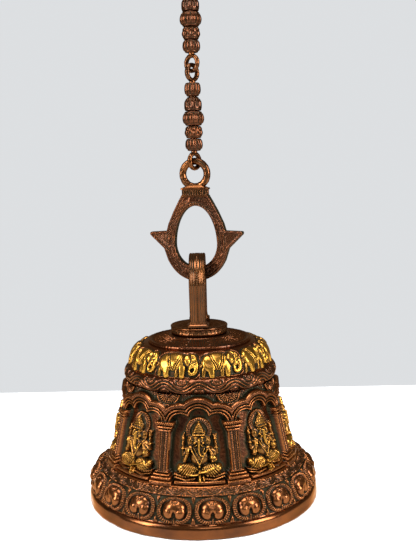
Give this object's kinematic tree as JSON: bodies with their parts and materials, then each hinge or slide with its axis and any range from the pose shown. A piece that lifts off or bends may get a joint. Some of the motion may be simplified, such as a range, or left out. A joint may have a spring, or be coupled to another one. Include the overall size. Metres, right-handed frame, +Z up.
{
  "type": "temple bell",
  "caption": "Hanging temple bell with cast relief figures, a crown loop, a winged hanger and a chain of beaded links ending in a ring, and a swinging clapper inside.",
  "frame": {"origin": "the top of the hole of the hanging ring, where the ceiling hook bears", "axes": "+Z up along the plumb chain and the bell's axis, -Y towards the middle of one niche, +X to the right of it"},
  "size_m": [0.2312, 0.2312, 0.5536],
  "materials": {
    "aged_bronze": "dark reddish-brown antique patina, glossy, darker and green in the recesses",
    "worn_bronze": "reddish-brown patina rubbed brighter on the edges",
    "lip_bronze": "turned and polished orange-brown rim",
    "gilt_relief": "golden high points with dark green-brown recesses",
    "inside_bronze": "dull as-cast brown",
    "clapper_bronze": "turned, dulled",
    "dark_iron": "dark oxidised iron"
  },
  "bodies": {
    "ring": {"hanging_ring": "worn_bronze"},
    "upper_link": {"upper_link_core": "worn_bronze", "upper_link_bead_1": "aged_bronze", "upper_link_bead_2": "aged_bronze", "upper_link_bead_3": "aged_bronze", "upper_link_bead_4": "aged_bronze", "upper_link_bead_5": "aged_bronze"},
    "lower_link": {"lower_link_core": "worn_bronze", "lower_link_bead_1": "aged_bronze", "lower_link_bead_2": "aged_bronze", "lower_link_bead_3": "aged_bronze", "lower_link_bead_4": "aged_bronze", "lower_link_bead_5": "aged_bronze"},
    "hanger": {"hanger": "worn_bronze"},
    "bell": {"crown_loop": "worn_bronze", "crown_collar": "aged_bronze", "crown_plate": "aged_bronze", "bell_shell": "aged_bronze", "crown_stud": "dark_iron", "crown_washer": "dark_iron", "crown_nut": "dark_iron", "clapper_staple": "dark_iron"},
    "clapper": {"clapper_rod": "dark_iron", "clapper_ball": "clapper_bronze", "clapper_tip": "clapper_bronze"}
  },
  "joints": [
    {"name": "upper_link_swing", "type": "hinge", "parent": "ring", "child": "upper_link", "pos_m": [0, 0, -0.035], "axis": [0.6428, 0.766, 0], "range_deg": [-30, 30]},
    {"name": "lower_link_swing", "type": "hinge", "parent": "upper_link", "child": "lower_link", "pos_m": [0, 0, -0.12695], "axis": [0.766, -0.6428, 0], "range_deg": [-30, 30]},
    {"name": "hanger_swing", "type": "hinge", "parent": "lower_link", "child": "hanger", "pos_m": [0, 0, -0.21965], "axis": [0.6428, 0.766, 0], "range_deg": [-20, 20]},
    {"name": "bell_swing", "type": "hinge", "parent": "hanger", "child": "bell", "pos_m": [0, 0, -0.3233], "axis": [0.9659, -0.2588, 0], "range_deg": [-25, 25]},
    {"name": "clapper_swing", "type": "hinge", "parent": "bell", "child": "clapper", "pos_m": [0, 0, -0.4366], "axis": [1, 0, 0], "range_deg": [-40, 40]}
  ]
}
